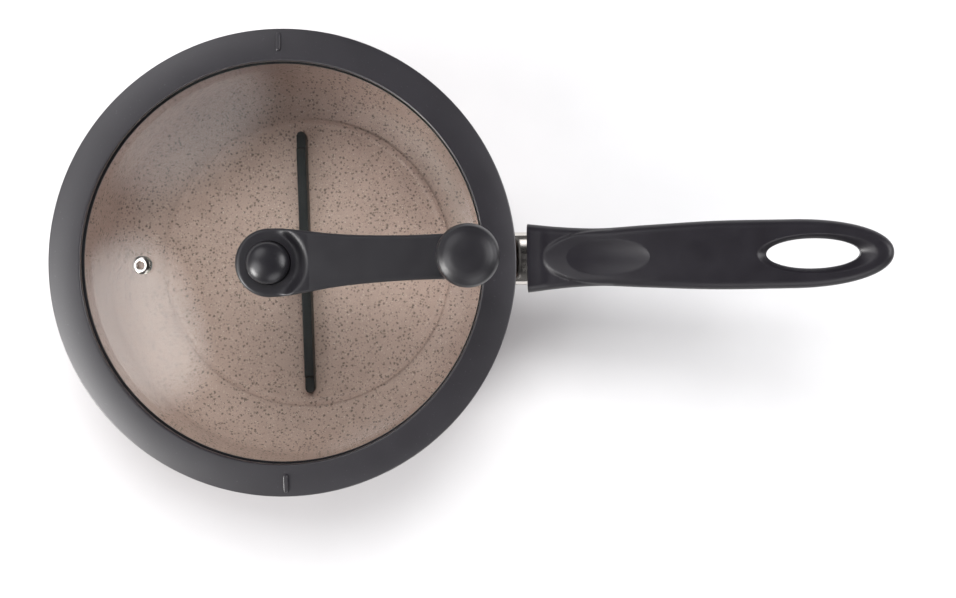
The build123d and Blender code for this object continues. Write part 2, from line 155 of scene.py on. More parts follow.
def rounded(corners):
    """Points of a closed outline from (across, up, corner radius) corners, each corner an arc."""
    points = []
    for before, here, after in zip(corners[-1:] + corners[:-1], corners, corners[1:] + corners[:1]):
        at, radius = Vector(here[:2]), here[2]
        if radius == 0:
            points.append(at)
            continue
        back = (Vector(before[:2]) - at).normalized()
        on = (Vector(after[:2]) - at).normalized()
        half = back.angle(on) / 2
        centre = at + (back + on).normalized() * radius / math.sin(half)
        first = at + back * radius / math.tan(half) - centre
        last = at + on * radius / math.tan(half) - centre
        steps = max(4, int((math.pi - 2 * half) * radius / 1.2))
        points += [centre + first.slerp(last, k / steps).normalized() * radius for k in range(steps + 1)]
    return points


def turned(outline, segments=192):
    """A closed outline of (radius, height) points, turned about Z."""
    mesh = bmesh.new()
    turns = [2 * math.pi * k / segments for k in range(segments)]
    rings = []
    for radius, height in outline:
        if radius < 1e-6:
            rings.append([mesh.verts.new((0, 0, height * MM))] * segments)
            continue
        rings.append([mesh.verts.new((radius * math.cos(t) * MM, radius * math.sin(t) * MM, height * MM))
                      for t in turns])
    for low, high in zip(rings, rings[1:] + rings[:1]):
        for k in range(segments):
            after = (k + 1) % segments
            corners = list(dict.fromkeys((low[k], low[after], high[after], high[k])))
            if len(corners) > 2:
                mesh.faces.new(corners)
    return mesh


def make_piece(name, mesh, material, body, slot, *nodes, sharp=35.0):
    """A smooth-shaded piece from a mesh, riding on a body and standing for CAD nodes."""
    bmesh.ops.recalc_face_normals(mesh, faces=mesh.faces)
    data = bpy.data.meshes.new(name)
    mesh.to_mesh(data)
    mesh.free()
    data.shade_smooth()
    data.set_sharp_from_angle(angle=math.radians(sharp))
    data.materials.append(material)
    made = bpy.data.objects.new(name, data)
    bpy.context.collection.objects.link(made)
    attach(made, body)
    if nodes:
        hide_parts(*nodes)
    return made


pan_low, pan_high = corners_mm("pan_shell")
rim_bead_r = pan_high.x
rim_z = pan_high.z
rim_bore_r = rim_bead_r - 4.0
wall = 2.5
wall_taper = math.tan(math.radians(2.2))
floor_z = 4.5
corner_r = 31.0
disc_r = corners_mm("induction_disc")[1].x
disc_recess = 1.5


def wall_r(z):
    """Radius of the pan's outer wall at height z."""
    return rim_bore_r + wall - (rim_z - z) * wall_taper


# A low bead, left by the press, runs round the floor just where the corner starts to rise.
bead_r = 87.6
bead_half = 2.6
bead_height = 0.5
corner_foot_r = wall_r(floor_z) - wall - corner_r
floor_bead = []
for step in range(17):
    across = 1 - step / 8
    r = bead_r + bead_half * across
    corner_rise = corner_r - math.sqrt(corner_r ** 2 - max(r - corner_foot_r, 0) ** 2)
    bead_rise = bead_height * math.cos(math.pi / 2 * across) ** 2
    floor_bead.append((r, floor_z + corner_rise + bead_rise))

stone_coating = fired_stone_coating()
make_piece(
    "pan_coated_shell",
    turned(rounded([
        (0, disc_recess, 0), (disc_r, disc_recess, 0.2), (disc_r, 0, 0.4),
        (wall_r(0), 0, corner_r + wall), (wall_r(rim_z - 5), rim_z - 5, 2),
        (rim_bead_r, rim_z - 3.5, 1), (rim_bead_r, rim_z, 1.5), (rim_bore_r, rim_z, 1),
        (wall_r(floor_z) - wall, floor_z, corner_r),
    ]) + floor_bead + [(0, floor_z)], 256),
    stone_coating, "pan", "coated_aluminium", "pan_shell",
)


# ---------------------------------------------------------------------------
# Induction disc. A stamped plate of magnetic stainless steel, pressed into
# the underside; the aluminium grips it through rings of small holes. Turned
# after pressing, so it shows fine rings.
# ---------------------------------------------------------------------------
def finish_node(node, material):
    """Gives a CAD node its material."""
    for place in frame["nodes"][node].material_slots:
        place.material = material


def turned_stainless():
    """Bare stainless steel with the rings a facing tool leaves, about 0.5 mm apart."""
    material, tree, shader = new_material("turned_stainless", {"Metallic": 1.0})
    place = place_in_mm(tree)
    flat = add_node(tree, "VectorMath", {0: place, 1: (1, 1, 0)}, operation="MULTIPLY").outputs[0]
    radius = add_node(tree, "VectorMath", {0: flat}, operation="LENGTH").outputs["Value"]
    rings = add_node(tree, "TexNoise", {"W": radius, "Scale": 2.0, "Detail": 2.0},
                     noise_dimensions="1D").outputs["Fac"]
    smear = grain(tree, place, 14.0, 3.0)
    tint = blend_colour(tree, smear, linear("#a9a8a6"), linear("#c4c3c1"))
    tree.links.new(tint, shader.inputs["Base Color"])
    tree.links.new(ramp(tree, rings, 0.3, 0.7, 0.26, 0.42), shader.inputs["Roughness"])
    tree.links.new(bump(tree, rings, 0.02), shader.inputs["Normal"])
    return material


finish_node("induction_disc", turned_stainless())


# ---------------------------------------------------------------------------
# Handle bracket and rivets. The bracket is pressed and welded from stainless
# strip, with the grain of the rolled sheet. Two aluminium rivets hold it to
# the wall; they are set before the pan is sprayed, so they wear its coating.
# ---------------------------------------------------------------------------
def rolled_stainless(name, light, dark, along):
    """Plain stainless steel with fine drawn lines along one direction."""
    material, tree, shader = new_material(name, {"Metallic": 1.0})
    lines = grain(tree, place_in_mm(tree, along), 0.25, 3.0, 0.6)
    smear = grain(tree, place_in_mm(tree), 8.0, 3.0)
    tint = blend_colour(tree, smear, linear(dark), linear(light))
    tree.links.new(tint, shader.inputs["Base Color"])
    tree.links.new(ramp(tree, lines, 0.3, 0.7, 0.24, 0.4), shader.inputs["Roughness"])
    tree.links.new(bump(tree, lines, 0.01), shader.inputs["Normal"])
    return material


rolled_steel = rolled_stainless("rolled_stainless_strip", "#bcbab8", "#a19f9d", (0.03, 1, 1))
finish_node("handle_bracket", rolled_steel)
finish_node("bracket_rivets", stone_coating)


# ---------------------------------------------------------------------------
# Flame guard. A short oval sleeve of deep-drawn stainless steel between the
# wall bracket and the grip, which keeps flames off the moulding. Polished, so
# it mirrors the room with only the faintest drawing lines.
# ---------------------------------------------------------------------------
mounts = {mount["name"]: mount for mount in frame["record"]["mounts"]}
hole_u = 151.6
handle_up = Vector(mounts["hanging_hole"]["axis"]).normalized()
handle_along = Vector((handle_up.z, 0, -handle_up.x))
grip_front = Vector(mounts["hanging_hole"]["pos_m"]) / MM - handle_along * hole_u
handle_place = Matrix((
    (handle_along.x, 0, handle_up.x, grip_front.x * MM),
    (handle_along.y, 1, handle_up.y, grip_front.y * MM),
    (handle_along.z, 0, handle_up.z, grip_front.z * MM),
    (0, 0, 0, 1),
))


def oval(half_width, half_height, power, count=96):
    """Points round a squared oval in the handle's cross-section."""
    points = []
    for k in range(count):
        turn = 2 * math.pi * k / count
        side, up = math.cos(turn), math.sin(turn)
        points.append((math.copysign(abs(side) ** (2 / power), side) * half_width,
                       math.copysign(abs(up) ** (2 / power), up) * half_height))
    return points


def sleeve_mesh(rows):
    """A closed sleeve from (start, half width, half height) rows: out along the outside and back."""
    mesh = bmesh.new()
    reach_r = wall_r(grip_front.z - 2.0) + 2.5
    loops = []
    for back, half_width, half_height in rows:
        loop = []
        for y, up in oval(half_width, half_height, 3.0):
            wall_x = math.sqrt(reach_r ** 2 - y ** 2)
            near_wall = (wall_x - grip_front.x - up * handle_up.x) / handle_along.x
            loop.append(mesh.verts.new((near_wall * back * MM, y * MM, up * MM)))
        loops.append(loop)
    for first, second in zip(loops, loops[1:] + loops[:1]):
        for k in range(len(first)):
            after = (k + 1) % len(first)
            mesh.faces.new((first[k], first[after], second[after], second[k]))
    mesh.transform(handle_place)
    return mesh


def polished_stainless():
    """Mirror-polished stainless steel with faint drawing lines along the sleeve."""
    material, tree, shader = new_material("polished_stainless", {"Metallic": 1.0})
    lines = grain(tree, place_in_mm(tree, (0.05, 1, 1)), 0.5, 2.0)
    smear = grain(tree, place_in_mm(tree), 5.0, 2.0)
    tint = blend_colour(tree, smear, linear("#cfc9c2"), linear("#dedad4"))
    tree.links.new(tint, shader.inputs["Base Color"])
    tree.links.new(ramp(tree, lines, 0.3, 0.7, 0.1, 0.17), shader.inputs["Roughness"])
    tree.links.new(bump(tree, lines, 0.004), shader.inputs["Normal"])
    return material


polished_steel = polished_stainless()
make_piece(
    "flame_guard_sleeve",
    sleeve_mesh([
        (1.0, 14.3, 9.6), (0.97, 14.7, 10.0), (0.5, 14.7, 10.0), (0.03, 14.7, 10.0), (0.0, 14.3, 9.6),
        (0.0, 13.5, 8.8), (1.0, 13.5, 8.8),
    ]),
    polished_steel, "pan", "polished_steel", "flame_guard", sharp=50,
)


# ---------------------------------------------------------------------------
# Grip. One phenolic moulding: flared front collar that stops the hand, narrow
# waist, raised thumb pad with an oval hollow, broad palm and an oval hanging
# hole with a wide bevel. The satin tool finish has a fine spark-eroded grain.
# ---------------------------------------------------------------------------
def smooth_through(points):
    """A smooth function through (along, value) points, level beyond them."""
    along, value = np.array(points, float).T
    slope = np.gradient(value, along)

    def at(x):
        x = np.clip(x, along[0], along[-1])
        k = np.clip(np.searchsorted(along, x) - 1, 0, len(along) - 2)
        span = along[k + 1] - along[k]
        t = (x - along[k]) / span
        return ((2 * t ** 3 - 3 * t ** 2 + 1) * value[k] + (t ** 3 - 2 * t ** 2 + t) * span * slope[k]
                + (3 * t ** 2 - 2 * t ** 3) * value[k + 1] + (t ** 3 - t ** 2) * span * slope[k + 1])

    return at


def eased(value, low, high):
    """0 below low, 1 above high, with a smooth rise between."""
    t = np.clip((value - low) / (high - low), 0, 1)
    return t * t * (3 - 2 * t)


def round_off(distance, radius):
    """How far a rounded edge has dropped at a distance inside that edge."""
    short = radius - np.clip(distance, 0, radius)
    return radius - np.sqrt(radius ** 2 - short ** 2)


def spaced(marks, step):
    """Stations from the first mark to the last, crowded at every mark."""
    stations = []
    for low, high in zip(marks, marks[1:]):
        count = max(6, int((high - low) / step))
        turn = np.pi * np.arange(count) / count
        stations += list(low + (high - low) * (0.5 - 0.5 * np.cos(turn)))
    return np.array(stations + [marks[-1]])


def distance_to_plan(u, y, stations, halves):
    """Distance from points (u, y) to the edge that runs through (stations, halves)."""
    start = np.stack([stations[:-1], halves[:-1]], 1)
    step = np.stack([np.diff(stations), np.diff(halves)], 1)
    length2 = np.maximum((step ** 2).sum(1), 1e-12)
    nearest = np.full(u.size, np.inf)
    point = np.stack([u.ravel(), np.abs(y).ravel()], 1)
    for first in range(0, len(point), 2000):
        part = point[first:first + 2000]
        away = part[:, None, :] - start[None]
        t = np.clip((away * step).sum(2) / length2, 0, 1)
        gap = np.linalg.norm(away - t[..., None] * step, axis=2)
        nearest[first:first + 2000] = gap.min(1)
    return nearest.reshape(u.shape)


def moulded_bar(stations, half_width, upper, lower, holes=(), across=26):
    """A closed bar along X. half_width(u) is its plan, upper and lower give its heights at
    (u, y, distance to the plan's edge), and each hole is (middle, half length, half width)."""
    outer = half_width(stations)
    inner = np.zeros_like(stations)
    for middle, half_length, half_side in holes:
        inside = 1 - ((stations - middle) / half_length) ** 2
        inner = np.maximum(inner, half_side * np.sqrt(np.clip(inside, 0, None)))
    inner[inner < 0.02] = 0
    share = 0.5 - 0.5 * np.cos(np.pi * np.arange(across + 1) / across)
    mesh = bmesh.new()
    for side in (1, -1):
        u = np.repeat(stations[:, None], across + 1, 1)
        y = side * (inner[:, None] + (outer - inner)[:, None] * share)
        edge = distance_to_plan(u, y, stations, outer)
        layers = []
        for height in (upper(u, y, edge), lower(u, y, edge)):
            layers.append([[mesh.verts.new((u[i, j] * MM, y[i, j] * MM, height[i, j] * MM))
                            for j in range(across + 1)] for i in range(len(stations))])
        top, bottom = layers
        for i in range(len(stations) - 1):
            for layer in layers:
                for j in range(across):
                    mesh.faces.new((layer[i][j], layer[i + 1][j], layer[i + 1][j + 1], layer[i][j + 1]))
            mesh.faces.new((top[i][-1], top[i + 1][-1], bottom[i + 1][-1], bottom[i][-1]))
            if inner[i] > 0 or inner[i + 1] > 0:
                mesh.faces.new((top[i][0], bottom[i][0], bottom[i + 1][0], top[i + 1][0]))
        for i in (0, -1):
            if outer[i] > 0.01:
                for j in range(across):
                    mesh.faces.new((top[i][j], top[i][j + 1], bottom[i][j + 1], bottom[i][j]))
    bmesh.ops.remove_doubles(mesh, verts=mesh.verts, dist=0.003 * MM)
    bmesh.ops.dissolve_degenerate(mesh, edges=mesh.edges, dist=0.002 * MM)
    return mesh


grip_length = 192.6
tip_start = 140.0
hole_half = (24.3, 8.0)
bevel_half = (31.0, 10.6)
pad_middle = 46.0
pad_half = (37.0, 14.8)
dimple_middle = 43.9
dimple_half = (22.4, 9.6)
grip_sides = smooth_through([(0, 18.9), (18, 16.9), (38, 15.8), (64, 16.9), (100, 18.4),
                             (tip_start, 18.4)])
grip_top = smooth_through([(0, 11.2), (30, 11.6), (70, 12.0), (120, 9.6), (160, 7.2),
                           (grip_length, 5.8)])
grip_bottom = smooth_through([(0, -12.5), (20, -11.2), (60, -11.4), (100, -10.6), (150, -7.6),
                              (grip_length, -5.8)])
collar_top = smooth_through([(0, 13.4), (4, 12.0), (9, 10.2), (16, 9.7), (46, 10.6)])


def grip_half_width(u):
    """Half the grip's width: a smooth waist and palm, closed by a squared oval tip."""
    tip = np.clip((u - tip_start) / (grip_length - tip_start), 0, 1)
    return grip_sides(u) * np.clip(1 - tip ** 2.15, 0, None) ** (1 / 2.15)


def hole_bevel(u, y):
    """0 outside the hanging hole's bevel, 1 at the hole's edge."""
    inner = np.sqrt(((u - hole_u) / hole_half[0]) ** 2 + (y / hole_half[1]) ** 2) - 1
    outer = 1 - np.sqrt(((u - hole_u - 1.5) / bevel_half[0]) ** 2 + (y / bevel_half[1]) ** 2)
    inner, outer = np.clip(inner, 1e-6, None), np.clip(outer, 0, None)
    return outer / (outer + inner)


def grip_upper(u, y, edge):
    """Height of the grip's upper face."""
    pad = np.sqrt(((u - pad_middle) / pad_half[0]) ** 2 + (y / pad_half[1]) ** 2)
    on_pad = np.where(u < pad_middle, eased(pad, 1.03, 0.985), 1.0)
    slope = 1.5 * np.clip(1 - pad, 0, 0.45) * eased(u, 70, 35)
    high = grip_top(u) - 0.6 * eased(u, 60, 30) + slope
    height = collar_top(u) + (high - collar_top(u)) * np.where(u < pad_middle, on_pad, 1.0)
    dimple = ((u - dimple_middle) / dimple_half[0]) ** 2 + (y / dimple_half[1]) ** 2
    height = height - 2.3 * np.clip(1 - dimple, 0, 1) ** 0.9
    height = height - 0.5 * (y / 18) ** 2 - 3.9 * hole_bevel(u, y) ** 1.15
    return height - round_off(edge, 4.6) - round_off(u, 1.0)


def grip_lower(u, y, edge):
    """Height of the grip's underside."""
    height = grip_bottom(u) + 0.8 * (y / 18) ** 2 + 3.4 * hole_bevel(u, y) ** 1.15
    return height + round_off(edge, 5.0) + round_off(u, 1.0)


def spark_eroded_moulding(name, dark, light, gloss, grain_mm):
    """Moulded plastic with the fine pitted grain that a spark-eroded tool leaves."""
    material, tree, shader = new_material(name, {"IOR": 1.5})
    place = place_in_mm(tree)
    fine = grain(tree, place, grain_mm, 2.0, 0.6)
    broad = grain(tree, place, 11.0, 3.0)
    tint = blend_colour(tree, broad, linear(dark), linear(light))
    tree.links.new(tint, shader.inputs["Base Color"])
    rough = ramp(tree, broad, 0.25, 0.75, gloss - 0.03, gloss + 0.04)
    tree.links.new(rough, shader.inputs["Roughness"])
    tree.links.new(bump(tree, fine, 0.025), shader.inputs["Normal"])
    return material


phenolic = spark_eroded_moulding("phenolic_moulding", "#100e12", "#161419", 0.40, 0.45)
grip_stations = spaced([0, 6, dimple_middle - dimple_half[0], dimple_middle + dimple_half[0],
                        hole_u - hole_half[0], hole_u + hole_half[0], grip_length], 0.8)
grip_mesh = moulded_bar(grip_stations, grip_half_width, grip_upper, grip_lower,
                        [(hole_u, *hole_half)], 30)
grip_mesh.transform(handle_place)
make_piece("handle_grip_moulding", grip_mesh, phenolic, "pan", "black_bakelite", "handle_grip", sharp=50)


# ---------------------------------------------------------------------------
# Handle screw and its washer. Zinc-plated steel, up through the grip's
# underside into the bracket's tongue. Plating is bright with cloudy patches.
# ---------------------------------------------------------------------------
def zinc_plate():
    """Bright zinc plating: pale, slightly cloudy."""
    material, tree, shader = new_material("zinc_plated_steel", {"Metallic": 1.0})
    cloud = grain(tree, place_in_mm(tree), 1.5, 3.0)
    tint = blend_colour(tree, cloud, linear("#a5a7ab"), linear("#c6c7ca"))
    tree.links.new(tint, shader.inputs["Base Color"])
    tree.links.new(ramp(tree, cloud, 0.3, 0.7, 0.22, 0.38), shader.inputs["Roughness"])
    return material


zinc_steel = zinc_plate()
finish_node("handle_screw", zinc_steel)
finish_node("handle_screw_washer", zinc_steel)


# ---------------------------------------------------------------------------
# Lid glass. Soda-lime float glass, sagged to a shallow dome in a mould and
# tempered, with a flat land at its centre and a flat edge that the silicone
# grips. It lets lamps through, so light reaches the pan's inside.
# ---------------------------------------------------------------------------
def tempered_glass():
    """Clear tempered glass: no tint to speak of, and very slight waviness from the mould."""
    material, tree, shader = new_material("tempered_soda_lime_glass", {
        "Base Color": linear("#f6faf8"), "Roughness": 0.0, "IOR": 1.36, "Transmission Weight": 1.0,
    })
    wave = grain(tree, place_in_mm(tree), 45.0, 1.0)
    tree.links.new(bump(tree, wave, 0.05), shader.inputs["Normal"])
    clear = add_node(tree, "BsdfTransparent", {"Color": linear("#eef3f1")})
    for_lamps = add_node(tree, "LightPath").outputs["Is Shadow Ray"]
    glass = add_node(tree, "MixShader", {0: for_lamps, 1: shader.outputs[0], 2: clear.outputs[0]})
    tree.links.new(glass.outputs[0], tree.nodes["Material Output"].inputs["Surface"])
    return material


glass_low, glass_high = corners_mm("lid_glass")
glass_thickness = 4.0
glass_top_z = glass_high.z
glass_edge_r = glass_high.x
glass_low_edge_z = glass_low.z
glass_edge_z = glass_low_edge_z + glass_thickness
glass_land_r = 16.0
glass_dome_r = 108.5
glass_hole_r = 7.0
dome_drop = glass_top_z - glass_edge_z
dome_arc_r = ((glass_dome_r - glass_land_r) ** 2 + dome_drop ** 2) / (2 * dome_drop)


def dome_arc(arc_r, steps):
    """Points of one face of the dome, from the land outwards down to that face's flat edge."""
    centre_z = glass_top_z - dome_arc_r
    last = math.acos((arc_r - dome_drop) / arc_r)
    turns = [last * k / steps for k in range(steps + 1)]
    return [(glass_land_r + arc_r * math.sin(t), centre_z + arc_r * math.cos(t)) for t in turns]


glass_outline = [(glass_hole_r, glass_top_z)] + dome_arc(dome_arc_r, 40)
glass_outline += [(glass_edge_r, glass_edge_z), (glass_edge_r, glass_low_edge_z)]
glass_outline += dome_arc(dome_arc_r - glass_thickness, 40)[::-1]
glass_outline += [(glass_hole_r, glass_top_z - glass_thickness)]
make_piece("lid_glass_dome", turned(glass_outline, 256), tempered_glass(),
           "lid", "lid_glass", "lid_glass", sharp=40)


# ---------------------------------------------------------------------------
# Silicone rim. Compression-moulded round the glass edge: a sloped flange that
# rests on the pan's bead, a lip over the glass and a skirt inside the pan. Two
# moulded index ribs stand on the flange. Semi-matt, and it picks up fine dust.
# ---------------------------------------------------------------------------
def moulded_silicone(name, dark, light, gloss):
    """Silicone rubber from a blasted mould: semi-matt with faint mottling and dust."""
    material, tree, shader = new_material(name, {
        "IOR": 1.5, "Coat Weight": 1.0, "Coat Roughness": 0.42,
    })
    place = place_in_mm(tree)
    mottle = grain(tree, place, 16.0, 4.0)
    tint = blend_colour(tree, mottle, linear(dark), linear(light))
    dust = ramp(tree, grain(tree, place, 0.8, 1.0), 0.72, 0.82, 0.0, 0.35)
    tint = blend_colour(tree, dust, tint, linear("#77757a"))
    tree.links.new(tint, shader.inputs["Base Color"])
    rough = ramp(tree, mottle, 0.3, 0.7, gloss - 0.03, gloss + 0.03)
    tree.links.new(rough, shader.inputs["Roughness"])
    tree.links.new(bump(tree, grain(tree, place, 0.5, 2.0), 0.012), shader.inputs["Normal"])
    return material


ring_low, ring_high = corners_mm("silicone_rim")
ring_r = ring_high.x
ring_top_z = glass_edge_z + 3.0
ring_edge_z = ring_top_z - 2.2
ring_lip_r = 109.1
ring_fall = (ring_top_z - ring_edge_z) / (ring_r - ring_lip_r)
rib_height = 1.2
skirt_r = 118.0
skirt_z = ring_low.z
rib_middle_r = 119.5
rib_half = (5.0, 1.2)
lip_under_z = glass_low_edge_z - 1.5


def index_rib(turn):
    """One rounded rib on the flange, at an angle round the lid."""
    stations = spaced([-rib_half[0], 0, rib_half[0]], 0.4)

    def half_width(u):
        past = np.clip(np.abs(u) - (rib_half[0] - rib_half[1]), 0, None)
        return np.sqrt(np.clip(rib_half[1] ** 2 - past ** 2, 0, None))

    rib = moulded_bar(
        stations, half_width,
        lambda u, y, edge: rib_height - round_off(edge, 0.45),
        lambda u, y, edge: np.full_like(u, -0.4), across=10,
    )
    rib_z = ring_top_z - (rib_middle_r - ring_lip_r) * ring_fall
    out_to_flange = Matrix.Translation((rib_middle_r * MM, 0, rib_z * MM))
    lean = Matrix.Rotation(math.atan(ring_fall), 4, "Y")
    rib.transform(Matrix.Rotation(turn, 4, "Z") @ out_to_flange @ lean)
    return rib


def joined(*meshes):
    """Several meshes as one."""
    whole = bmesh.new()
    for mesh in meshes:
        part = bpy.data.meshes.new("part")
        mesh.to_mesh(part)
        mesh.free()
        whole.from_mesh(part)
        bpy.data.meshes.remove(part)
    return whole


rim_outline = rounded([
    (ring_lip_r, ring_top_z, 0.9), (ring_r, ring_edge_z, 0.8), (ring_r, rim_z + 0.8, 0.4),
    (ring_r - 1.2, rim_z, 0.3), (skirt_r, rim_z, 0.5), (skirt_r - 0.6, skirt_z, 1.0),
    (114.8, skirt_z, 0.8), (113.2, lip_under_z, 0.5), (glass_dome_r - 0.3, lip_under_z, 0.4),
    (glass_dome_r - 0.3, glass_low_edge_z, 0.2), (glass_edge_r, glass_low_edge_z, 0),
    (glass_edge_r, glass_edge_z, 0), (ring_lip_r, glass_edge_z, 0.2),
])
quarter = math.pi / 2
grey_silicone = moulded_silicone("grey_moulded_silicone", "#131115", "#19171c", 0.40)
rim_whole = joined(turned(rim_outline, 320), index_rib(quarter), index_rib(-quarter))
make_piece("silicone_rim_ring", rim_whole, grey_silicone, "lid", "grey_silicone", "silicone_rim")


# ---------------------------------------------------------------------------
# Steam vent. A stainless eyelet rolled over both faces of the glass, square
# to the dome where it sits; polished like the flame guard.
# ---------------------------------------------------------------------------
vent_low, vent_high = corners_mm("vent_eyelet")
vent_x = -74.0
vent_hole_r = 2.0
vent_tilt = math.asin((abs(vent_x) - glass_land_r) / dome_arc_r)
vent_z = glass_top_z - dome_arc_r * (1 - math.cos(vent_tilt))
eyelet = turned(rounded([
    (vent_hole_r, 1.2, 0.55), (vent_hole_r + 1.6, 1.2, 0.7), (5.0, 0.45, 0.15), (5.0, 0.08, 0.05),
    (3.0, 0.08, 0), (3.0, -glass_thickness - 0.08, 0), (4.8, -glass_thickness - 0.08, 0.05),
    (4.6, -glass_thickness - 0.68, 0.2), (vent_hole_r, -glass_thickness - 0.98, 0.3),
]), 96)
vent_at = Matrix.Translation((vent_x * MM, 0, vent_z * MM))
eyelet.transform(vent_at @ Matrix.Rotation(-vent_tilt, 4, "Y"))
make_piece("vent_eyelet_rolled", eyelet, polished_steel, "lid", "polished_steel", "vent_eyelet")


# ---------------------------------------------------------------------------
# Shaft bearing. A glass-filled nylon bush passes through the glass with a
# silicone gasket on each side; a zinc-plated nut clamps them, and a moulded
# tower pressed over the nut carries the crank.
# ---------------------------------------------------------------------------
def glass_filled_nylon(name, dark, light):
    """Nylon with glass fibre: dull, with a fibrous mottling."""
    material, tree, shader = new_material(name, {"IOR": 1.53})
    fibre = grain(tree, place_in_mm(tree, (1, 0.25, 1)), 0.6, 3.0, 0.6)
    tint = blend_colour(tree, fibre, linear(dark), linear(light))
    tree.links.new(tint, shader.inputs["Base Color"])
    tree.links.new(ramp(tree, fibre, 0.3, 0.7, 0.42, 0.55), shader.inputs["Roughness"])
    tree.links.new(bump(tree, fibre, 0.01), shader.inputs["Normal"])
    return material


finish_node("lid_bushing", glass_filled_nylon("glass_filled_nylon_bush", "#19191a", "#232324"))
gasket_silicone = moulded_silicone("gasket_silicone_sheet", "#4b4a4c", "#565557", 0.5)
finish_node("lower_gasket", gasket_silicone)
finish_node("upper_gasket", gasket_silicone)
finish_node("clamp_nut", zinc_steel)

crank_plastic = spark_eroded_moulding("crank_thermoset_moulding", "#131215", "#19181b", 0.38, 0.35)
tower_low, tower_high = corners_mm("bearing_tower")
tower_r = tower_high.x
tower_bore_r = 4.4
tower_step_r = 6.5
nut_pocket_r = 11.1
nut_pocket_z = tower_low.z + 5.2
tower_ledge_z = tower_high.z - 3.6
make_piece(
    "bearing_tower_collar",
    turned(rounded([
        (tower_r, tower_low.z, 0.3), (tower_r - 1.5, tower_low.z + 6, 4),
        (tower_r - 2.5, tower_high.z, 0.9), (tower_bore_r, tower_high.z, 0.3),
        (tower_bore_r, tower_ledge_z, 0), (tower_step_r, tower_ledge_z, 0),
        (tower_step_r, nut_pocket_z, 0), (nut_pocket_r, nut_pocket_z, 0), (nut_pocket_r, tower_low.z, 0),
    ]), 128),
    crank_plastic, "lid", "crank_plastic", "bearing_tower",
)


# ---------------------------------------------------------------------------
# Drive shaft. Ground stainless bar with squared ends and a zinc-plated open
# clip under the bush. A white slip washer lies between crank and tower.
# ---------------------------------------------------------------------------
def slip_plastic():
    """White slip plastic: waxy, lets a little light in."""
    material, tree, shader = new_material("white_slip_plastic", {
        "IOR": 1.38, "Subsurface Weight": 0.15, "Subsurface Scale": 1.5 * MM,
    })
    cloud = grain(tree, place_in_mm(tree), 3.0, 2.0)
    tint = blend_colour(tree, cloud, linear("#dddcd6"), linear("#eceae4"))
    tree.links.new(tint, shader.inputs["Base Color"])
    tree.links.new(ramp(tree, cloud, 0.3, 0.7, 0.4, 0.5), shader.inputs["Roughness"])
    return material


ground_steel = rolled_stainless("ground_stainless_bar", "#c4c2c0", "#aeacaa", (1, 1, 0.05))
white_slip = slip_plastic()
finish_node("drive_shaft", ground_steel)
finish_node("shaft_circlip", zinc_steel)
finish_node("thrust_washer", white_slip)


# ---------------------------------------------------------------------------
# Crank arm. Compression-moulded with the same satin grain as the grip: a round
# hub with a pocket for the cap, then a tapered arm that rises to the knob's
# flat seat. It rests a little off the handle's line.
# ---------------------------------------------------------------------------
knob_low, knob_high = corners_mm("crank_knob")
knob_middle = (knob_low + knob_high) / 2
crank_x = math.hypot(knob_middle.x, knob_middle.y)
crank_place = Matrix.Rotation(math.atan2(knob_middle.y, knob_middle.x), 4, "Z")
knob_place = crank_place @ Matrix.Translation((crank_x * MM, 0, 0))
hub_r = 17.4
hub_top_z = 152.0
hub_boss_r = 12.5
cap_pocket_r = 11.2
cap_pocket_z = 147.5
hub_bore_r = 2.6
hub_under_z = 143.7
arm_end_r = 11.6
arm_end_bore_r = 6.4
arm_root_u = 20.5
arm_root_z = 156.4
seat_under_z = 157.0
spindle_bore_r = 3.0
knob_seat_z = corners_mm("knob_washer")[0].z
arm_bottom_z = corners_mm("crank_arm")[0].z
arm_sides = smooth_through([(0, hub_r), (6, 17.2), (17, 15.8), (32, 13.6), (62, 11.5), (88, 11.3),
                            (crank_x, arm_end_r)])


def arm_half_width(u):
    """Half the arm's width: a circle round the hub, the tapered arm, then a circle at its end."""
    hub = np.sqrt(np.clip(hub_r ** 2 - u ** 2, 0, None))
    end = np.sqrt(np.clip(arm_end_r ** 2 - (u - crank_x) ** 2, 0, None))
    return np.where(u < 0, hub, np.where(u > crank_x, end, arm_sides(u)))


def arm_upper(u, y, edge):
    """Height of the arm's upper face: a step up from the hub, then a rise to the knob's seat."""
    rise = arm_root_z + (knob_seat_z - arm_root_z) * np.clip((u - arm_root_u) / 65.5, 0, 1)
    from_hub = np.hypot(u, y)
    height = hub_top_z + (rise - hub_top_z) * eased(from_hub, 14.2, arm_root_u) * eased(u, 3, 12)
    return height - round_off(edge, 1.8)


def arm_lower(u, y, edge):
    """Height of the arm's underside, which stays clear of the glass."""
    marks = [-30, 16, 26, 88, 130]
    heights = [143.5, 143.5, 146.5, 153.5, 153.5]
    return np.interp(u, marks, heights) + round_off(edge, 0.8)


arm_holes = [(0, cap_pocket_r, cap_pocket_r), (crank_x, arm_end_bore_r, arm_end_bore_r)]
arm_stations = spaced([-hub_r, -cap_pocket_r, cap_pocket_r, arm_root_u, crank_x - arm_end_bore_r,
                       crank_x + arm_end_bore_r, crank_x + arm_end_r], 0.9)
arm_mesh = moulded_bar(arm_stations, arm_half_width, arm_upper, arm_lower, arm_holes, 26)
hub_boss = turned(rounded([
    (cap_pocket_r, cap_pocket_z, 0), (hub_bore_r, cap_pocket_z, 0), (hub_bore_r, arm_bottom_z, 0),
    (hub_boss_r, arm_bottom_z, 0.5), (hub_boss_r, hub_under_z, 0), (cap_pocket_r, hub_under_z, 0),
]), 96)
seat_top_z = knob_seat_z - 0.02
seat_disc = turned([(spindle_bore_r, seat_under_z), (7.0, seat_under_z), (7.0, seat_top_z),
                    (spindle_bore_r, seat_top_z)], 96)
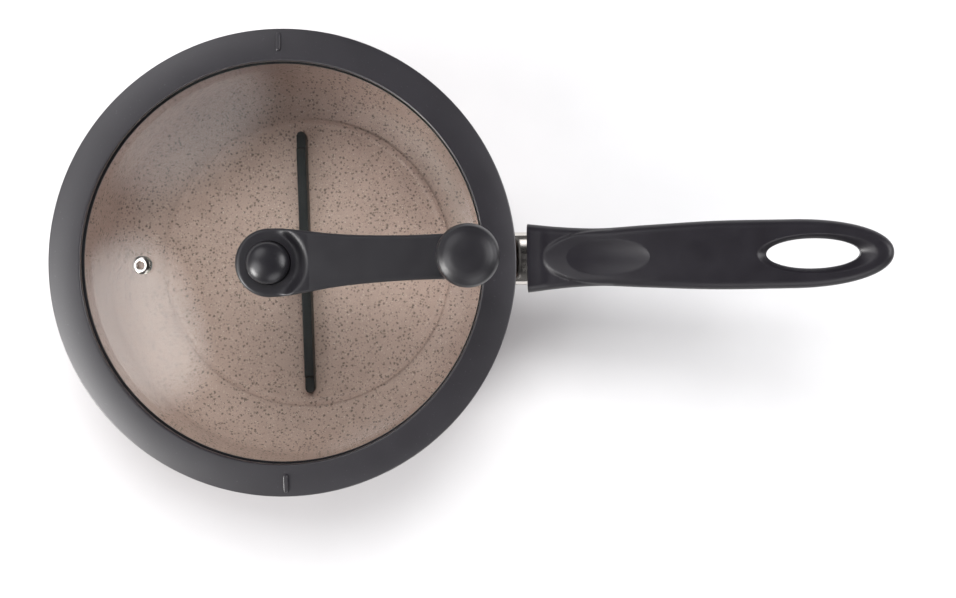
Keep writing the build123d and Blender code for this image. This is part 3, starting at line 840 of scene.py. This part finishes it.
seat_disc.transform(Matrix.Translation((crank_x * MM, 0, 0)))
arm_whole = joined(arm_mesh, hub_boss, seat_disc)
arm_whole.transform(crank_place)
make_piece("crank_arm_moulding", arm_whole, crank_plastic,
           "crank", "crank_plastic", "crank_arm", sharp=50)


# ---------------------------------------------------------------------------
# Hub cap. A snap-in button of the arm's plastic that hides the crank screw:
# a short upright wall, a rounded shoulder and a shallow polished dome. The
# zinc-plated screw and washer lie under it.
# ---------------------------------------------------------------------------
cap_top_z = corners_mm("hub_cap")[1].z
cap_r = 10.8
cap_bore_r = 9.2
cap_shoulder_z = cap_top_z - 5.6
gloss_plastic = spark_eroded_moulding("crank_gloss_button", "#131215", "#18171a", 0.3, 0.8)
finish_node("crank_screw", zinc_steel)
finish_node("screw_washer", zinc_steel)


def dome(radius, low_z, top_z, steps=16):
    """Points of a shallow dome from its edge to the axis."""
    turns = [math.pi / 2 * k / steps for k in range(steps + 1)]
    return [(radius * math.cos(t), low_z + (top_z - low_z) * math.sin(t)) for t in turns]


cap_outline = [(0, cap_top_z - 1.6), (cap_bore_r, cap_top_z - 6.5), (cap_bore_r, cap_pocket_z),
               (cap_r, cap_pocket_z)]
cap_outline += dome(cap_r, cap_shoulder_z, cap_top_z)
make_piece("hub_cap_button", turned(cap_outline, 128), gloss_plastic,
           "crank", "crank_plastic", "hub_cap")


# ---------------------------------------------------------------------------
# Stirrer blade. Injection-moulded from glass-filled nylon: a low bar with
# slightly stepped tips that sweeps the pan's floor, and a square-bored hub
# held on the shaft by a steel cross pin.
# ---------------------------------------------------------------------------
blade_half_length = 81.6
blade_half_thickness = 2.9
blade_step = blade_half_length - 10.5
blade_step_height = 2.0
blade_low, blade_high = corners_mm("stirrer_blade")
blade_top_z = 16.0
blade_hub_r = 8.0
blade_bore_r = 3.9
blade_plastic = glass_filled_nylon("glass_filled_nylon_blade", "#131314", "#19191a")
finish_node("stirrer_pin", ground_steel)


def blade_half_width(u):
    """Half the blade's thickness, rounded at its ends."""
    past = np.clip(np.abs(u) - (blade_half_length - blade_half_thickness), 0, None)
    return np.sqrt(np.clip(blade_half_thickness ** 2 - past ** 2, 0, None))


def blade_upper(u, y, edge):
    """Height of the blade's upper edge, lower at both tips."""
    step = blade_step_height * eased(np.abs(u), blade_step - 0.6, blade_step + 0.6)
    return blade_top_z - step - round_off(edge, 0.6)


blade_stations = spaced([-blade_half_length, -blade_step, blade_step, blade_half_length], 1.6)
blade_bar = moulded_bar(blade_stations, blade_half_width, blade_upper,
                        lambda u, y, edge: blade_low.z + round_off(edge, 0.4), across=8)
blade_bar.transform(Matrix.Rotation(math.pi / 2, 4, "Z"))
blade_hub = turned(rounded([
    (0, blade_low.z, 0), (blade_hub_r, blade_low.z, 0.3), (blade_hub_r, blade_high.z, 0.8),
    (blade_bore_r, blade_high.z, 0.3), (blade_bore_r, blade_high.z - 2, 0), (0, blade_high.z - 2, 0),
]), 96)
blade_whole = joined(blade_bar, blade_hub)
blade_whole.transform(crank_place)
make_piece("stirrer_blade_moulding", blade_whole, blade_plastic,
           "crank", "blade_nylon", "stirrer_blade")


# ---------------------------------------------------------------------------
# Knob spindle. A headed stainless pin, its thinner end held through the arm
# by a zinc-plated nut in the underside, with a white slip washer on the arm.
# ---------------------------------------------------------------------------
finish_node("knob_spindle", ground_steel)
finish_node("spindle_nut", zinc_steel)
finish_node("knob_washer", white_slip)


# ---------------------------------------------------------------------------
# Knob. A flared body moulded like the arm, bored for the spindle, and a cap
# that snaps into its open top and hides the spindle's head.
# ---------------------------------------------------------------------------
knob_r = 15.4
knob_bore_r = 4.06
knob_well_r = 9.2
knob_well_z = 176.2
knob_split_z = 179.5
knob_top_z = corners_mm("knob_cap")[1].z
plug_bore_r = 7.4
plug_low_z = 177.0
knob_body = turned(rounded([
    (knob_bore_r, knob_low.z, 0.2), (9.0, knob_low.z, 0.6), (10.5, 170.0, 8.0), (14.6, 176.0, 2.0),
    (knob_r, knob_split_z, 0.25), (knob_well_r, knob_split_z, 0), (knob_well_r, knob_well_z, 0),
    (knob_bore_r, knob_well_z, 0),
]), 160)
knob_body.transform(knob_place)
make_piece("crank_knob_body", knob_body, crank_plastic, "knob", "knob_plastic", "crank_knob")

knob_face = smooth_through([(0, knob_top_z), (5, knob_top_z - 0.3), (9.5, knob_top_z - 1.2),
                            (12.8, knob_top_z - 2.9), (14.8, knob_top_z - 5.2),
                            (knob_r, knob_top_z - 7.2)])
knob_face_r = [knob_r * math.sin(math.pi / 2 * k / 28) for k in range(29)]
knob_cap_outline = [(0, 185.5), (plug_bore_r, 183.5), (plug_bore_r, plug_low_z),
                    (knob_well_r, plug_low_z), (knob_well_r, knob_split_z),
                    (knob_r, knob_split_z + 0.15)]
knob_cap_outline += [(r, float(knob_face(np.array(r)))) for r in knob_face_r[::-1]]
knob_cap = turned(knob_cap_outline, 160)
knob_cap.transform(knob_place)
make_piece("knob_cap_button", knob_cap, crank_plastic, "knob", "knob_plastic", "knob_cap", sharp=50)


# ---------------------------------------------------------------------------
# Stage. A broad white floor under a low softbox on the left and a larger one
# above, behind the pan, in a pale room; the camera looks straight down.
# ---------------------------------------------------------------------------
def painted_white():
    """Matt white studio paper."""
    material, tree, shader = new_material("matt_white_paper", {"Roughness": 0.9})
    fibre = grain(tree, place_in_mm(tree), 30.0, 3.0)
    tint = blend_colour(tree, fibre, linear("#b9b9ba"), linear("#bdbdbe"))
    tree.links.new(tint, shader.inputs["Base Color"])
    return material


def softbox(name, size, away, azimuth, from_vertical, power, colour):
    """A square area light aimed at the lid's middle."""
    lamp = bpy.data.lights.new(name, "AREA")
    lamp.shape = "SQUARE"
    lamp.size = size
    lamp.energy = power
    lamp.color = linear(colour)[:3]
    made = bpy.data.objects.new(name, lamp)
    bpy.context.collection.objects.link(made)
    turn, lean = math.radians(azimuth), math.radians(from_vertical)
    back = Vector((math.cos(turn) * math.sin(lean), math.sin(turn) * math.sin(lean), math.cos(lean)))
    made.location = Vector((0, 0, 0.1)) + back * away
    made.rotation_mode = "QUATERNION"
    made.rotation_quaternion = back.to_track_quat("Z", "Y")
    return made


floor_half = 15.0
floor_mesh = bmesh.new()
bmesh.ops.create_grid(floor_mesh, x_segments=1, y_segments=1, size=floor_half)
floor_data = bpy.data.meshes.new("floor")
floor_mesh.to_mesh(floor_data)
floor_mesh.free()
floor_data.materials.append(painted_white())
floor = bpy.data.objects.new("floor", floor_data)
floor.location.z = -0.0002
bpy.context.collection.objects.link(floor)

softbox("low_left_softbox", 0.55, 1.5, 210, 66, 23.0, "#fffdfb")
top_softbox = softbox("top_softbox", 0.8, 1.6, 78, 27, 41.0, "#ffffff")
top_softbox.visible_glossy = False
top_softbox.visible_transmission = False

# The room: darker overhead, where the camera hangs, pale all round, and with four lit panels.
world = bpy.data.worlds.new("light_tent")
world.use_nodes = True
tent = world.node_tree
toward = add_node(tent, "TexCoord").outputs["Generated"]


def panel_light(way, edge, full, strength):
    """Light from a soft-edged round panel; edge and full are cosines of angles from its middle."""
    facing = add_node(tent, "VectorMath", {0: toward, 1: Vector(way).normalized()},
                      operation="DOT_PRODUCT").outputs["Value"]
    fade = {"Value": facing, "From Min": edge, "From Max": full, "To Min": 0.0, "To Max": strength}
    return add_node(tent, "MapRange", fade, interpolation_type="SMOOTHSTEP").outputs["Result"]


room_light = 0.13
total = panel_light((0, 0, 1), 0.72, 0.92, -0.09)
for light in (
        room_light,
        panel_light((-0.66, -0.21, 0.72), 0.935, 0.988, 4.5),
        panel_light((-0.50, 0.54, 0.68), 0.92, 0.988, 2.3),
        panel_light((0.83, 0.14, 0.54), 0.90, 0.99, 5.0),
        panel_light((0.28, -0.82, 0.48), 0.90, 0.98, 2.4),
):
    total = add_node(tent, "Math", {0: total, 1: light}, operation="ADD").outputs[0]
backdrop = tent.nodes["Background"]
backdrop.inputs["Color"].default_value = linear("#fcfbfd")
tent.links.new(total, backdrop.inputs["Strength"])
bpy.context.scene.world = world
bpy.context.scene.view_settings.view_transform = "Standard"

camera_data = bpy.data.cameras.new("overhead")
camera_data.sensor_width = 36.0
camera_data.lens = 43.23
camera_data.shift_x = 0.0185
camera_data.shift_y = -0.0413
camera_data.clip_end = 20.0
camera = bpy.data.objects.new("overhead", camera_data)
camera.location = (0.0965, 0, 0.730)
camera.rotation_euler = (0, 0, math.radians(-1.0))
bpy.context.collection.objects.link(camera)
bpy.context.scene.camera = camera
